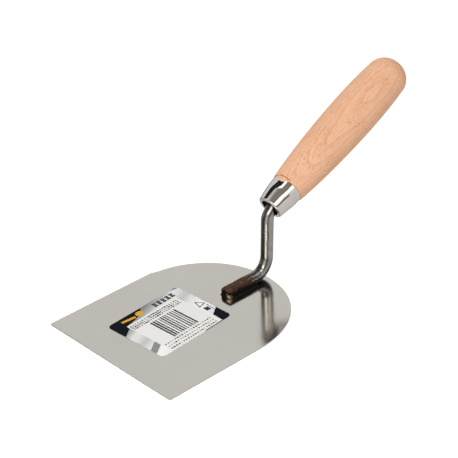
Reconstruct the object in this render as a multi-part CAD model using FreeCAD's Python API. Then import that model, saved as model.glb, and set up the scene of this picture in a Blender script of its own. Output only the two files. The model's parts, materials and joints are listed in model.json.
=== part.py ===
import FreeCAD, Part
import math
import os

from FreeCAD import Placement, Rotation, Vector

# Plasterer's hand trowel: a flat D-shaped steel blade, a cranked round rod brazed to it,
# and a turned beech handle in a chromed ferrule.  Units are millimetres.
# The blade's sole lies on Z = 0 and its centre is the origin.  The straight working edge
# faces -Y, the rounded heel and the handle are towards +Y, and X = 0 is the plane of symmetry.

# ---- blade ----
BLADE_WIDTH = 106.5
BLADE_LENGTH = 128.0
BLADE_THICKNESS = 0.8
SIDE_LENGTH = 69.4            # straight, parallel part of the sides, from the working edge
HEEL_POWER = 2.1              # power of the heel's superellipse; 2 would be a plain half ellipse
HEEL_POINTS = 17
TOE_RADIUS = 0.6              # the two front corners are dubbed, not sharp

# ---- crank: one round rod, flattened at the foot and drawn down to a tang ----
ROD_RADIUS = 4.0
FOOT_FRONT_Y = 29.5
FOOT_HALF_WIDTH = 4.4
FOOT_HEIGHT = 5.5             # above the blade
FOOT_CORNER = 1.4             # rounding of the foot's front corners, in plan
FOOT_CROWN = 1.1              # rounding of its upper edges
SWELL_LENGTH = 10.0           # length over which the round rod sinks into the foot
SWELL_FRONT_RADIUS = 2.6
ROD_SINK = 1.1                # the forging has flattened this much off the rod's underside
RISER_Y = 64.7                # where the upright part would meet Z = 0
RISER_LEAN = 1.3              # degrees, towards the handle
LOWER_BEND = 12.2             # centre-line radii
UPPER_BEND = 13.5

# ---- handle axis ----
MOUTH_Y = 67.6                # centre of the ferrule's open end
MOUTH_Z = 47.9
HANDLE_TILT = 26.75           # degrees above the blade

# ---- tang ----
TANG_TIP_RADIUS = 1.6
TANG_LENGTH = 58.0            # inside the handle, measured from the mouth

# ---- braze ----
BRAZE_LEG = 0.7               # width and height of the filler's fillet round the foot

# ---- ferrule ----
FERRULE_LENGTH = 17.6
FERRULE_MOUTH_RADIUS = 8.35
FERRULE_WAIST_AXIAL = 10.5    # the cone flattens out here, almost to a cylinder
FERRULE_WAIST_RADIUS = 10.1
FERRULE_REAR_RADIUS = 10.42
FERRULE_WALL = 0.8
WAIST_ROUNDING = 30.0
LIP_RADIUS = 1.2              # outer rounding of the turned-in lip
MOUTH_HOLE_RADIUS = 6.6
HOLE_EDGE_RADIUS = 0.3

# ---- brad through the ferrule ----
BRAD_AXIAL = 13.5             # from the mouth
BRAD_TURN = 93.0              # degrees round the ferrule, from the top towards +X
BRAD_RADIUS = 0.6
BRAD_LENGTH = 7.0
BRAD_HEAD_RADIUS = 1.0
BRAD_HEAD_HEIGHT = 0.35

# ---- handle, distances from the ferrule's mouth ----
SPIGOT_RECESS = 2.2           # the wood stops this far inside the mouth
SHOULDER_RADIUS = 10.95       # stands proud of the ferrule's rear end
QUARTER_AXIAL, QUARTER_RADIUS = 43.5, 13.4
MIDDLE_AXIAL, MIDDLE_RADIUS = 62.0, 14.35
BELLY_AXIAL, BELLY_RADIUS = 88.0, 14.75
BUTT_AXIAL, BUTT_RADIUS = 115.3, 13.45
DOME_LENGTH = 12.4
DOME_POINTS = 7

# ---- label ----
LABEL_WIDTH = 46.8
LABEL_LENGTH = 58.7
LABEL_THICKNESS = 0.1
LABEL_CORNER = 3.2
LABEL_CENTRE = (-4.85, -11.7)
LABEL_TURN = 3.6              # degrees, it was stuck on a little askew

FRONT_Y = -BLADE_LENGTH / 2
DECK = BLADE_THICKNESS        # height of the blade's upper face
X_AXIS = Vector(1, 0, 0)
Z_AXIS = Vector(0, 0, 1)


def signed_power(value, power):
    return math.copysign(abs(value) ** power, value)


def superellipse(half_a, half_b, power, angle):
    """Point of a superellipse with the given half axes, at a parameter angle in radians."""
    return (half_a * signed_power(math.cos(angle), 2.0 / power),
            half_b * signed_power(math.sin(angle), 2.0 / power))


def on_handle_axis(shape):
    """Move a shape made round +Z, mouth at the origin, on to the tilted handle axis."""
    turn = Rotation(X_AXIS, HANDLE_TILT - 90.0)
    shape.Placement = Placement(Vector(0, MOUTH_Y, MOUTH_Z), turn).multiply(shape.Placement)
    return shape


def revolved(edges):
    """Solid of revolution round +Z from a closed half section in the XZ plane."""
    return Part.Face(Part.Wire(edges)).revolve(Vector(0, 0, 0), Z_AXIS, 360)


def make_blade():
    """Sheet with a straight front, parallel sides and a superelliptic heel."""
    half = BLADE_WIDTH / 2
    shoulder_y = FRONT_Y + SIDE_LENGTH
    heel_depth = BLADE_LENGTH - SIDE_LENGTH
    heel_points = []
    for i in range(HEEL_POINTS):
        x, y = superellipse(half, heel_depth, HEEL_POWER, math.pi * i / (HEEL_POINTS - 1))
        heel_points.append(Vector(x, shoulder_y + y, 0))
    heel = Part.BSplineCurve()
    heel.interpolate(Points=heel_points, InitialTangent=Vector(0, 1, 0), FinalTangent=Vector(0, -1, 0))
    right_toe = Vector(half, FRONT_Y, 0)
    left_toe = Vector(-half, FRONT_Y, 0)
    outline = Part.Wire([
        Part.makeLine(left_toe, right_toe),
        Part.makeLine(right_toe, heel_points[0]),
        heel.toShape(),
        Part.makeLine(heel_points[-1], left_toe),
    ])
    sheet = Part.Face(outline).extrude(Z_AXIS * BLADE_THICKNESS)
    toe_edges = [e for e in sheet.Edges
                 if abs(e.CenterOfMass.y - FRONT_Y) < 1e-6 and e.Length < 2 * BLADE_THICKNESS]
    return sheet.makeFillet(TOE_RADIUS, toe_edges)


def heading(slope):
    """Unit vector in the YZ plane, at an angle in degrees above +Y."""
    return Vector(0, math.cos(math.radians(slope)), math.sin(math.radians(slope)))


def disc(centre, slope, radius):
    """Round face square to the centre line, its seam on the +X side."""
    face = Part.Face(Part.Wire(Part.makeCircle(radius)))
    face.Placement = Placement(centre, Rotation(X_AXIS, slope - 90.0))
    return face


def riser_start():
    """Point where the foot's centre line meets the riser's."""
    height = DECK + ROD_RADIUS - ROD_SINK
    return Vector(0, RISER_Y + height * math.tan(math.radians(RISER_LEAN)), height)


def riser_end():
    """Point where the riser's centre line meets the handle axis, just outside the mouth."""
    lean = math.tan(math.radians(RISER_LEAN))
    tilt = math.radians(HANDLE_TILT)
    back = (MOUTH_Y - RISER_Y - MOUTH_Z * lean) / (math.cos(tilt) - math.sin(tilt) * lean)
    return Vector(0, MOUTH_Y, MOUTH_Z) - heading(HANDLE_TILT) * back


def bend_reach(radius, turn):
    """Distance from a corner of the centre line to where its arc starts, for a turn in degrees."""
    return radius * math.tan(math.radians(turn) / 2)


def make_foot(end_y):
    """Flattened bar with rounded upper edges and a rounded front end."""
    bar = Part.makeBox(2 * FOOT_HALF_WIDTH, end_y - FOOT_FRONT_Y, FOOT_HEIGHT,
                       Vector(-FOOT_HALF_WIDTH, FOOT_FRONT_Y, DECK))
    corners = [e for e in bar.Edges
               if abs(e.CenterOfMass.y - FOOT_FRONT_Y) < 1e-6 and abs(e.Length - FOOT_HEIGHT) < 1e-6]
    bar = bar.makeFillet(FOOT_CORNER, corners)
    crown = [e for e in bar.Edges
             if e.BoundBox.ZMin > DECK + FOOT_HEIGHT - 1e-3 and e.CenterOfMass.y < end_y - 1e-3]
    return bar.makeFillet(FOOT_CROWN, crown)


def make_swell(start):
    """Cone that runs from the round rod down into the bar's top."""
    drop = 2 * ROD_RADIUS - 2 * SWELL_FRONT_RADIUS - ROD_SINK
    slope = 180.0 + math.degrees(math.atan2(drop / 2, SWELL_LENGTH))
    cone = Part.makeCone(ROD_RADIUS, SWELL_FRONT_RADIUS, SWELL_LENGTH)
    cone.Placement = Placement(start, Rotation(X_AXIS, slope - 90.0))
    return cone


def make_shank():
    """Foot, lower bend, riser, upper bend and tapered tang, all from one rod."""
    riser_slope = 90.0 - RISER_LEAN
    low_reach = bend_reach(LOWER_BEND, riser_slope)
    up_reach = bend_reach(UPPER_BEND, riser_slope - HANDLE_TILT)
    low_start = riser_start() - heading(0) * low_reach
    low_end = riser_start() + heading(riser_slope) * low_reach
    up_start = riser_end() - heading(riser_slope) * up_reach
    up_end = riser_end() + heading(HANDLE_TILT) * up_reach
    low_centre = low_start + Vector(0, 0, LOWER_BEND)
    up_centre = up_start + heading(riser_slope - 90) * UPPER_BEND
    lower_bend = disc(low_start, 0, ROD_RADIUS).revolve(low_centre, X_AXIS, riser_slope)
    riser = disc(low_end, riser_slope, ROD_RADIUS).extrude(up_start - low_end)
    upper_bend = disc(up_start, riser_slope, ROD_RADIUS).revolve(
        up_centre, X_AXIS, HANDLE_TILT - riser_slope)
    tip = Vector(0, MOUTH_Y, MOUTH_Z) + heading(HANDLE_TILT) * TANG_LENGTH
    tang = Part.makeCone(ROD_RADIUS, TANG_TIP_RADIUS, (tip - up_end).Length)
    tang.Placement = Placement(up_end, Rotation(X_AXIS, HANDLE_TILT - 90.0))
    shank = make_foot(low_start.y).fuse([make_swell(low_start), lower_bend, riser, upper_bend, tang])
    # forging leaves the underside flat where it meets the blade
    below = Part.makeBox(BLADE_WIDTH, BLADE_LENGTH, BLADE_LENGTH,
                         Vector(-BLADE_WIDTH / 2, 0, DECK - BLADE_LENGTH))
    return shank.cut(below)


def rounded_outline(half_width, front_y, rear_y, z, corner):
    """Closed wire: a rectangle in plan with its two front corners rounded."""
    diagonal = corner * (1 - math.sqrt(0.5))
    right_tangent = Vector(half_width, front_y + corner, z)
    left_tangent = Vector(-half_width, front_y + corner, z)
    front_right = Vector(half_width - corner, front_y, z)
    front_left = Vector(corner - half_width, front_y, z)
    return Part.Wire([
        Part.makeLine(front_left, front_right),
        Part.Arc(front_right, Vector(half_width - diagonal, front_y + diagonal, z), right_tangent).toShape(),
        Part.makeLine(right_tangent, Vector(half_width, rear_y, z)),
        Part.makeLine(Vector(half_width, rear_y, z), Vector(-half_width, rear_y, z)),
        Part.makeLine(Vector(-half_width, rear_y, z), left_tangent),
        Part.Arc(left_tangent, Vector(diagonal - half_width, front_y + diagonal, z), front_left).toShape(),
    ])


def make_braze(shank):
    """Filler drawn round the foot: a narrow fillet between the foot and the blade."""
    rear_y = riser_start().y - LOWER_BEND
    skirt = rounded_outline(FOOT_HALF_WIDTH + BRAZE_LEG, FOOT_FRONT_Y - BRAZE_LEG, rear_y,
                            DECK, BRAZE_LEG + FOOT_CORNER)
    crest = rounded_outline(FOOT_HALF_WIDTH, FOOT_FRONT_Y, rear_y, DECK + BRAZE_LEG, FOOT_CORNER)
    bead = Part.makeLoft([skirt, crest], True, True)
    return max(bead.cut(shank).Solids, key=lambda piece: piece.Volume)


def make_ferrule():
    """Tapered tube with its small end turned in to a rounded lip."""
    half_section = [Vector(FERRULE_MOUTH_RADIUS, 0, 0),
                    Vector(FERRULE_WAIST_RADIUS, 0, FERRULE_WAIST_AXIAL),
                    Vector(FERRULE_REAR_RADIUS, 0, FERRULE_LENGTH)]
    half_section += reversed(cavity_wall(FERRULE_WALL))
    half_section += [Vector(MOUTH_HOLE_RADIUS, 0, FERRULE_WALL), Vector(MOUTH_HOLE_RADIUS, 0, 0)]
    closed = half_section[1:] + half_section[:1]
    shell = revolved([Part.makeLine(a, b) for a, b in zip(half_section, closed)])
    for radius, axial, rounding in ((FERRULE_MOUTH_RADIUS, 0, LIP_RADIUS),
                                    (MOUTH_HOLE_RADIUS, 0, HOLE_EDGE_RADIUS),
                                    (FERRULE_WAIST_RADIUS, FERRULE_WAIST_AXIAL, WAIST_ROUNDING)):
        ring = [e for e in shell.Edges if is_ring(e, radius, axial)]
        shell = shell.makeFillet(rounding, ring)
    return shell


def is_ring(edge, radius, axial):
    """True for a circle round the Z axis with this radius at this height."""
    box = edge.BoundBox
    return abs(box.ZMin - axial) + abs(box.ZMax - axial) < 0.01 and abs(box.XMax - radius) < 0.01


def ferrule_slope(axial):
    if axial < FERRULE_WAIST_AXIAL:
        return (FERRULE_WAIST_RADIUS - FERRULE_MOUTH_RADIUS) / FERRULE_WAIST_AXIAL
    return (FERRULE_REAR_RADIUS - FERRULE_WAIST_RADIUS) / (FERRULE_LENGTH - FERRULE_WAIST_AXIAL)


def ferrule_radius(axial):
    return FERRULE_WAIST_RADIUS + ferrule_slope(axial) * (axial - FERRULE_WAIST_AXIAL)


def cavity_wall(start):
    """Corners of the ferrule's inner wall in the XZ plane, from a distance behind the mouth."""
    return [Vector(ferrule_radius(axial) - FERRULE_WALL, 0, axial)
            for axial in (start, FERRULE_WAIST_AXIAL, FERRULE_LENGTH)]


def make_handle():
    """Turned grip: spigot in the ferrule, slim neck, belly and a domed butt."""
    corners = [Vector(0, 0, SPIGOT_RECESS)] + cavity_wall(SPIGOT_RECESS)
    corners.append(Vector(SHOULDER_RADIUS, 0, FERRULE_LENGTH))
    grip = Part.BSplineCurve()
    grip.interpolate([corners[-1], Vector(QUARTER_RADIUS, 0, QUARTER_AXIAL),
                      Vector(MIDDLE_RADIUS, 0, MIDDLE_AXIAL), Vector(BELLY_RADIUS, 0, BELLY_AXIAL),
                      Vector(BUTT_RADIUS, 0, BUTT_AXIAL)])
    dome_points = []
    for i in range(DOME_POINTS):
        radius, rise = superellipse(BUTT_RADIUS, DOME_LENGTH, 2, math.pi / 2 * i / (DOME_POINTS - 1))
        dome_points.append(Vector(radius, 0, BUTT_AXIAL + rise))
    dome = Part.BSplineCurve()
    dome.interpolate(Points=dome_points, InitialTangent=Vector(0, 0, 1), FinalTangent=Vector(-1, 0, 0))
    edges = [Part.makeLine(a, b) for a, b in zip(corners, corners[1:])]
    edges += [grip.toShape(), dome.toShape(), Part.makeLine(dome_points[-1], corners[0])]
    return revolved(edges)


def make_brad():
    """Small round-headed nail, driven square to the ferrule's wall."""
    nail = Part.makeCylinder(BRAD_RADIUS, BRAD_LENGTH, Vector(0, 0, -BRAD_LENGTH))
    sphere_radius = (BRAD_HEAD_RADIUS ** 2 + BRAD_HEAD_HEIGHT ** 2) / (2 * BRAD_HEAD_HEIGHT)
    head = Part.makeSphere(sphere_radius, Vector(0, 0, BRAD_HEAD_HEIGHT - sphere_radius))
    head = head.common(Part.makeCylinder(BRAD_HEAD_RADIUS, BRAD_HEAD_HEIGHT))
    brad = nail.fuse(head).removeSplitter()
    # stand it on the ferrule's +X side, square to the tapered wall, then turn it round
    taper = math.degrees(math.atan(ferrule_slope(BRAD_AXIAL)))
    seat = Placement(Vector(ferrule_radius(BRAD_AXIAL), 0, BRAD_AXIAL),
                     Rotation(Vector(0, 1, 0), 90.0 + taper))
    turn = Placement(Vector(0, 0, 0), Rotation(Z_AXIS, BRAD_TURN - 90.0))
    brad.Placement = turn.multiply(seat)
    return brad


def make_label():
    """Thin printed sticker with rounded corners, a little askew on the blade."""
    sheet = Part.makeBox(LABEL_WIDTH, LABEL_LENGTH, LABEL_THICKNESS,
                         Vector(-LABEL_WIDTH / 2, -LABEL_LENGTH / 2, 0))
    corners = [e for e in sheet.Edges if abs(e.Length - LABEL_THICKNESS) < 1e-6]
    sheet = sheet.makeFillet(LABEL_CORNER, corners)
    sheet.Placement = Placement(Vector(LABEL_CENTRE[0], LABEL_CENTRE[1], DECK),
                                Rotation(Z_AXIS, LABEL_TURN))
    return sheet


def main():
    os.makedirs("parts", exist_ok=True)
    shank = make_shank()
    brad = on_handle_axis(make_brad())
    ferrule = on_handle_axis(make_ferrule()).cut(brad)
    handle = on_handle_axis(make_handle()).cut([shank, brad])
    pieces = {
        "blade": make_blade(),
        "shank": shank,
        "braze": make_braze(shank),
        "ferrule": ferrule,
        "ferrule_brad": brad,
        "handle": handle,
        "label": make_label(),
    }
    for name, shape in pieces.items():
        solid = shape if shape.ShapeType == "Solid" else shape.Solids[0]
        solid.exportStep("parts/" + name + ".step")
        box = solid.BoundBox
        print(name, len(shape.Solids), "solid, valid", solid.isValid(), "volume %.1f" % solid.Volume,
              "x %.1f..%.1f y %.1f..%.1f z %.1f..%.1f" % (box.XMin, box.XMax, box.YMin, box.YMax,
                                                         box.ZMin, box.ZMax))


main()
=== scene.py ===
# %% [markdown]
# A plasterer's hand trowel.
#
# The tool is a thin polished steel blade with a straight front and a rounded heel. A round steel
# rod is brazed to the blade, cranked upwards and driven into a turned beech handle, and a chromed
# ferrule keeps the wood from splitting. This lesson loads the tool's exact CAD model as a frame
# and then makes its looks: where the CAD shape is right, it only gets a finish, and where the real
# surface is softer or rougher than the drawing, a new mesh takes the node's place.

# %% Load the frame
import bmesh
import bpy
import json
import math
import random
from mathutils import Matrix, Vector


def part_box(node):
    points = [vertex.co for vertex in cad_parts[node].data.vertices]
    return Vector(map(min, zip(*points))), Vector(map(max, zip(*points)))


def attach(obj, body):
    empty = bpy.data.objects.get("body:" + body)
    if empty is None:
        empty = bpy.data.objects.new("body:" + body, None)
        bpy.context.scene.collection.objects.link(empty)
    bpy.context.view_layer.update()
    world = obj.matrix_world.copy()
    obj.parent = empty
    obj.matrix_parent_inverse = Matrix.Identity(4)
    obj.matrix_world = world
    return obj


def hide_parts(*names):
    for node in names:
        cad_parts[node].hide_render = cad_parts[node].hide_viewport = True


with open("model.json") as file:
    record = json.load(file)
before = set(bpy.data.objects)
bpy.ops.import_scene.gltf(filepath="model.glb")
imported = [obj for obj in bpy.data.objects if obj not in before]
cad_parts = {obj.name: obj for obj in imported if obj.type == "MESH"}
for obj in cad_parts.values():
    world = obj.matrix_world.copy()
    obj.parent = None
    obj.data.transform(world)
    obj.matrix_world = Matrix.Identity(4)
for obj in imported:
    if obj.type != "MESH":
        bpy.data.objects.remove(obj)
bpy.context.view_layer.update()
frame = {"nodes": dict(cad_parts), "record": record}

# %% [markdown]
# Every place comes from the frame. The blade's upper face is the deck that the rod's foot and the
# label lie on. The record's grip mount gives the handle's axis, and the ferrule's open mouth is a
# known distance back along it. Distances along the axis are counted from that mouth, in metres.

# %% Places and sizes taken from the frame
MM = 0.001
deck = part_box("blade")[1].z
grip = next(m for m in frame["record"]["mounts"] if m["name"] == "grip")
AXIS = Vector(grip["axis"]).normalized()
GRIP_TO_MOUTH = 70 * MM
MOUTH = Vector(grip["pos_m"]) - AXIS * GRIP_TO_MOUTH
LEFT = Vector((-1, 0, 0))
TOP = AXIS.cross(LEFT)
AXIS_TURN = Matrix((LEFT, TOP, AXIS)).transposed().to_euler()
print("deck height", round(deck, 5), "mouth", [round(v, 4) for v in MOUTH])
print("handle axis", [round(v, 4) for v in AXIS], "top side", [round(v, 3) for v in TOP])


# %% [markdown]
# Most meshes here are rings of points joined to their neighbours, like hoops on a barrel. One
# helper joins rings into a closed skin and closes both ends, another makes the object. Both leave
# the object at the origin with its place in its mesh, as the CAD nodes have it.

# %% Helpers that make meshes
def make_object(name, mesh, material, smooth=True):
    """An object at the origin from a finished bmesh, with outward normals and one material."""
    bmesh.ops.recalc_face_normals(mesh, faces=mesh.faces)
    data = bpy.data.meshes.new(name)
    mesh.to_mesh(data)
    mesh.free()
    data.materials.append(material)
    for polygon in data.polygons:
        polygon.use_smooth = smooth
    piece = bpy.data.objects.new(name, data)
    bpy.context.scene.collection.objects.link(piece)
    print(name, "has", len(data.polygons), "faces")
    return piece


def skin(rings, closed_loop=False):
    """A bmesh through rings of points. A closed loop joins the last ring to the first."""
    mesh = bmesh.new()
    rows = [[mesh.verts.new(point) for point in ring] for ring in rings]
    pairs = list(zip(rows, rows[1:]))
    if closed_loop:
        pairs.append((rows[-1], rows[0]))
    for low, high in pairs:
        for i in range(len(low)):
            j = (i + 1) % len(low)
            mesh.faces.new((low[i], low[j], high[j], high[i]))
    if not closed_loop:
        mesh.faces.new(rows[0])
        mesh.faces.new(rows[-1])
    return mesh


def crease_by_angle(piece, degrees):
    """Shade smooth, but keep edges sharper than the angle crisp."""
    mesh = bmesh.new()
    mesh.from_mesh(piece.data)
    for edge in mesh.edges:
        edge.smooth = len(edge.link_faces) < 2 or edge.calc_face_angle() < math.radians(degrees)
    mesh.to_mesh(piece.data)
    mesh.free()


# %% [markdown]
# Several finishes share the same effects, so each effect is a shader node group, built once.
# "cloudiness" is soft, large variation, as in handled steel and in wood. "fine lines" is the grain
# that grinding, drawing or turning leaves: noise squeezed hard along one direction. Both put out
# only a mask or a height, and each material decides what to do with it.

# %% Helpers that build shader nodes
def group_with(name, inputs, outputs):
    """A new shader group with float and vector sockets given as (name, kind, default)."""
    tree = bpy.data.node_groups.new(name, "ShaderNodeTree")
    for socket, kind, default in inputs:
        made = tree.interface.new_socket(socket, in_out="INPUT", socket_type=kind)
        if default is not None:
            made.default_value = default
    for socket, kind in outputs:
        tree.interface.new_socket(socket, in_out="OUTPUT", socket_type=kind)
    return tree, tree.nodes.new("NodeGroupInput"), tree.nodes.new("NodeGroupOutput")


def add(tree, kind, links=(), **settings):
    """Add a node, set its properties and input values, and link (socket, output) pairs to it."""
    node = tree.nodes.new(kind)
    for key, value in settings.items():
        setattr(node, key, value)
    for socket, source in links:
        if isinstance(source, bpy.types.NodeSocket):
            tree.links.new(source, node.inputs[socket])
        else:
            node.inputs[socket].default_value = source
    return node


def maths(tree, operation, first, second=0.0):
    return add(tree, "ShaderNodeMath", [(0, first), (1, second)], operation=operation).outputs[0]


def remap(tree, value, low, high, to_low=0.0, to_high=1.0):
    links = [("Value", value), ("From Min", low), ("From Max", high),
             ("To Min", to_low), ("To Max", to_high)]
    return add(tree, "ShaderNodeMapRange", links, clamp=True).outputs["Result"]


def blend_colours(tree, factor, first, second):
    node = add(tree, "ShaderNodeMix", data_type="RGBA")
    for index, source in ((0, factor), (6, first), (7, second)):
        if isinstance(source, bpy.types.NodeSocket):
            tree.links.new(source, node.inputs[index])
        else:
            node.inputs[index].default_value = source
    return node.outputs[2]


# %% Group: cloudiness
def build_cloudiness():
    tree, into, out = group_with(
        "cloudiness",
        [("Vector", "NodeSocketVector", None), ("Size", "NodeSocketFloat", 40.0),
         ("Low", "NodeSocketFloat", 0.4), ("High", "NodeSocketFloat", 0.6)],
        [("Mask", "NodeSocketFloat")])
    noise = add(tree, "ShaderNodeTexNoise", [("Vector", into.outputs["Vector"]),
                                             ("Scale", into.outputs["Size"]), ("Detail", 5.0)])
    mask = remap(tree, noise.outputs[0], into.outputs["Low"], into.outputs["High"])
    tree.links.new(mask, out.inputs["Mask"])
    return tree


# %% Group: fine lines along local Z
def build_fine_lines():
    tree, into, out = group_with(
        "fine_lines",
        [("Vector", "NodeSocketVector", None), ("Across", "NodeSocketFloat", 3000.0),
         ("Along", "NodeSocketFloat", 60.0)],
        [("Height", "NodeSocketFloat")])
    apart = add(tree, "ShaderNodeSeparateXYZ", [("Vector", into.outputs["Vector"])])
    squeezed = add(tree, "ShaderNodeCombineXYZ", [
        ("X", maths(tree, "MULTIPLY", apart.outputs["X"], into.outputs["Across"])),
        ("Y", maths(tree, "MULTIPLY", apart.outputs["Y"], into.outputs["Across"])),
        ("Z", maths(tree, "MULTIPLY", apart.outputs["Z"], into.outputs["Along"]))])
    noise = add(tree, "ShaderNodeTexNoise", [("Vector", squeezed.outputs[0]), ("Scale", 1.0),
                                             ("Detail", 3.0), ("Roughness", 0.6)])
    tree.links.new(noise.outputs[0], out.inputs["Height"])
    return tree


cloudiness = build_cloudiness()
fine_lines = build_fine_lines()
print("shader groups:", cloudiness.name, fine_lines.name)


# %% Helpers that start a material
def new_material(name):
    """A material with a Principled shader. Returns it with its tree and its shader."""
    material = bpy.data.materials.new(name)
    material.use_nodes = True
    tree = material.node_tree
    return material, tree, tree.nodes["Principled BSDF"]


def place(tree, location=(0, 0, 0), rotation=(0, 0, 0)):
    """Object coordinates, moved and turned by a Mapping node set to undo a placement."""
    coordinates = add(tree, "ShaderNodeTexCoord")
    mapping = add(tree, "ShaderNodeMapping", [("Vector", coordinates.outputs["Object"]),
                                              ("Location", location), ("Rotation", rotation)],
                  vector_type="TEXTURE")
    return mapping.outputs[0]


def set_stops(ramp, stops):
    """Give a colour ramp its stops, as (position, (red, green, blue)) pairs in order."""
    elements = ramp.color_ramp.elements
    for index, (position, colour) in enumerate(stops):
        stop = elements[index] if index < 2 else elements.new(position)
        stop.position = position
        stop.color = (*colour, 1)


def along_handle(tree):
    """Coordinates from the ferrule's mouth: Z up the handle's axis, Y its top, X its left."""
    return place(tree, MOUTH, AXIS_TURN)


def use_group(tree, group, links):
    return add(tree, "ShaderNodeGroup", links, node_tree=group).outputs[0]


def bump(tree, height, strength, distance):
    return add(tree, "ShaderNodeBump", [("Height", height), ("Strength", strength),
                                        ("Distance", distance)]).outputs[0]


def set_inputs(shader, **values):
    """Set plain values or links on a Principled shader; underscores stand for spaces."""
    for key, value in values.items():
        socket = shader.inputs[key.replace("_", " ")]
        if isinstance(value, bpy.types.NodeSocket):
            shader.id_data.links.new(value, socket)
        else:
            socket.default_value = value


# %% [markdown]
# The blade is hardened sheet steel, ground flat and then polished until it mirrors the rod that
# stands on it. Its grain is hardly visible: very fine lines run lengthways, the way the sheet went
# through the polishing belt, and faint clouds show where hands and cloths have been. The CAD mesh
# is flat where the real blade is flat, so the node keeps its shape and only gets this finish.

# %% Blade finish
def blade_steel():
    material, tree, shader = new_material("polished_blade_steel")
    along_y = place(tree, rotation=(math.pi / 2, 0, 0))
    lines = use_group(tree, fine_lines, [("Vector", along_y), ("Across", 2600.0), ("Along", 22.0)])
    clouds = use_group(tree, cloudiness, [("Vector", place(tree)), ("Size", 28.0),
                                          ("Low", 0.35), ("High", 0.7)])
    colour = blend_colours(tree, clouds, (0.640, 0.622, 0.590, 1), (0.662, 0.648, 0.618, 1))
    rough = maths(tree, "ADD", remap(tree, lines, 0.3, 0.7, 0.0, 0.03),
                  remap(tree, clouds, 0.0, 1.0, 0.095, 0.120))
    set_inputs(shader, Base_Color=colour, Metallic=1.0, Roughness=rough,
               Normal=bump(tree, lines, 0.10, 0.00002))
    return material


blade = frame["nodes"]["blade"]
blade.material_slots[0].material = blade_steel()
print("blade finished:", blade.material_slots[0].material.name)


# %% [markdown]
# The crank starts as a straight length of 8 mm rod. The smith flattens one end into a foot, bends
# the rod up and then forward, and draws the other end down to a tang. The bends are the places
# where the hammer shows. The mesh follows the same story: a centre line made of straights and
# arcs, and a cross-section that changes from a squarish foot to a round rod to a thin neck. The
# section is a superellipse, whose power runs from 2 for a circle up to a squarish bar.

# %% The crank's centre line
ROD = 4.0 * MM
ROD_SINK = 1.1 * MM
LOWER_BEND = 12.2 * MM
UPPER_BEND = 13.5 * MM
RISER_LEAN = math.radians(1.3)
tilt = math.atan2(AXIS.z, AXIS.y)
foot_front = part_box("shank")[0].y
rod_height = deck + ROD - ROD_SINK
riser_foot_y = 64.7 * MM
FOOT_STEPS, LOWER_STEPS, RISER_STEPS, UPPER_STEPS, END_STEPS = 60, 44, 40, 39, 11
INTO_FERRULE = 14 * MM
FOOT_HALF_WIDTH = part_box("shank")[1].x
FOOT_HEIGHT = 5.5 * MM


def heading(angle):
    return Vector((0, math.cos(angle), math.sin(angle)))


def crank_line():
    """Points, headings and distances from the foot's front end to inside the handle."""
    slope = math.pi / 2 - RISER_LEAN
    lower = Vector((0, riser_foot_y + rod_height * math.tan(RISER_LEAN), rod_height))
    lean = math.tan(RISER_LEAN)
    back = (MOUTH.y - riser_foot_y - MOUTH.z * lean) / (math.cos(tilt) - math.sin(tilt) * lean)
    upper = MOUTH - AXIS * back
    low_reach = LOWER_BEND * math.tan(slope / 2)
    up_reach = UPPER_BEND * math.tan((slope - tilt) / 2)
    low_start = lower - heading(0) * low_reach
    up_start = upper - heading(slope) * up_reach
    low_centre = low_start + Vector((0, 0, LOWER_BEND))
    up_centre = up_start + heading(slope - math.pi / 2) * UPPER_BEND
    stations = []
    start = Vector((0, foot_front, rod_height))
    foot_run = (low_start - start).length
    stations += [(start + heading(0) * foot_run * i / FOOT_STEPS, 0.0)
                 for i in range(FOOT_STEPS)]
    for i in range(LOWER_STEPS + 1):
        angle = slope * i / LOWER_STEPS
        stations.append((low_centre - heading(angle + math.pi / 2) * LOWER_BEND, angle))
    low_end = lower + heading(slope) * low_reach
    for i in range(1, RISER_STEPS):
        stations.append((low_end.lerp(up_start, i / RISER_STEPS), slope))
    for i in range(UPPER_STEPS + 1):
        angle = slope + (tilt - slope) * i / UPPER_STEPS
        stations.append((up_centre + heading(angle + math.pi / 2) * UPPER_BEND, angle))
    up_end = stations[-1][0]
    for i in range(1, END_STEPS + 1):
        stations.append((up_end + AXIS * INTO_FERRULE * i / END_STEPS, tilt))
    return stations, foot_run


crank, foot_run = crank_line()
print("crank stations:", len(crank), "foot run, mm:", round(foot_run / MM, 2))


# %% The crank's skin
SECTION_SIDES = 56
SWELL = 10 * MM
FOOT_POWER = 4.2
NOSE = 1.9 * MM
NECK_TAPER = 6 * MM
NECK_SHRINK = 0.16
NECK_ABOVE = 25 * MM
NOSE_SHARE = 0.80
FOOT_SPARE = 0.88 * ROD_SINK


def ease(value):
    value = min(max(value, 0.0), 1.0)
    return value * value * (3 - 2 * value)


def signed_power(value, power):
    return math.copysign(abs(value) ** power, value)


def dents(rng, count, centre_along, spread):
    """Hammer marks as (distance along, angle round, size, depth)."""
    return [(rng.gauss(centre_along, spread), rng.uniform(0, 2 * math.pi),
             rng.uniform(1.2, 2.6) * MM, rng.uniform(0.05, 0.15) * MM) for _ in range(count)]


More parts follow.
